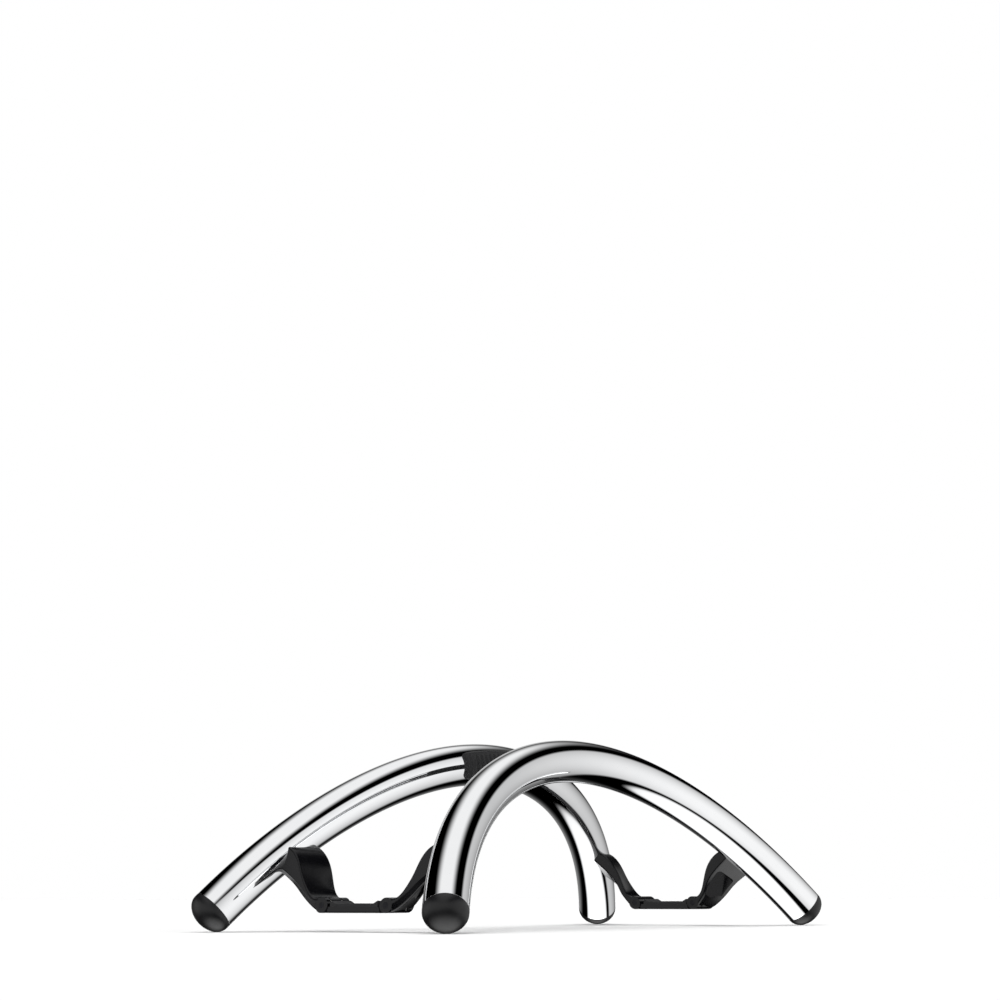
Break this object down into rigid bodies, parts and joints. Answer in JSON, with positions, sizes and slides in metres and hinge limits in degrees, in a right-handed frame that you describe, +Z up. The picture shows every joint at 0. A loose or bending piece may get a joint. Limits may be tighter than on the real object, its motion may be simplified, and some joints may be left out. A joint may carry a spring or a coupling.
{
  "type": "vertical laptop stand",
  "caption": "Self-adjusting upright laptop stand: two leaning chromed tube arches hinged to short padded cradle links that carry the laptop's edge.",
  "frame": {"origin": "bottom centre, on the table under the middle of the laptop slot", "axes": "+X along the arches and the laptop's edge, +Y across the slot towards the rear arch, +Z up"},
  "size_m": [0.2166, 0.0918, 0.056],
  "materials": {
    "chromed_tube": "mirror-polished chrome plate on steel tube",
    "black_rubber": "satin moulded rubber",
    "black_silicone": "soft matte silicone",
    "black_moulding": "fine-textured satin moulding",
    "black_steel": "black-oxide steel",
    "plated_steel": "zinc-plated steel",
    "white_acetal": "natural acetal"
  },
  "bodies": {
    "cradle": {"left_cradle_base": "black_moulding", "left_saddle_pad": "black_silicone", "right_cradle_base": "black_moulding", "right_saddle_pad": "black_silicone", "front_left_hinge_pin": "black_steel", "front_left_hinge_washers": "white_acetal", "front_right_hinge_pin": "black_steel", "front_right_hinge_washers": "white_acetal", "rear_left_hinge_pin": "black_steel", "rear_left_hinge_washers": "white_acetal", "rear_right_hinge_pin": "black_steel", "rear_right_hinge_washers": "white_acetal"},
    "front_arch": {"front_arch_tube": "chromed_tube", "front_grip_pad": "black_silicone", "front_left_foot_cap": "black_rubber", "front_left_arm": "black_moulding", "front_left_arm_screw": "black_steel", "front_left_threaded_insert": "plated_steel", "front_right_foot_cap": "black_rubber", "front_right_arm": "black_moulding", "front_right_arm_screw": "black_steel", "front_right_threaded_insert": "plated_steel"},
    "rear_arch": {"rear_arch_tube": "chromed_tube", "rear_grip_pad": "black_silicone", "rear_left_foot_cap": "black_rubber", "rear_left_arm": "black_moulding", "rear_left_arm_screw": "black_steel", "rear_left_threaded_insert": "plated_steel", "rear_right_foot_cap": "black_rubber", "rear_right_arm": "black_moulding", "rear_right_arm_screw": "black_steel", "rear_right_threaded_insert": "plated_steel"}
  },
  "joints": [
    {"name": "front_arch_hinge", "type": "hinge", "parent": "cradle", "child": "front_arch", "pos_m": [0, -0.011, 0.0073], "axis": [-1, 0, 0], "range_deg": [-8, 6]},
    {"name": "rear_arch_hinge", "type": "hinge", "parent": "cradle", "child": "rear_arch", "pos_m": [0, 0.011, 0.0073], "axis": [1, 0, 0], "range_deg": [-8, 6]}
  ],
  "couplings": [
    {"joint": "rear_arch_hinge", "follows": "front_arch_hinge", "ratio": 1}
  ]
}
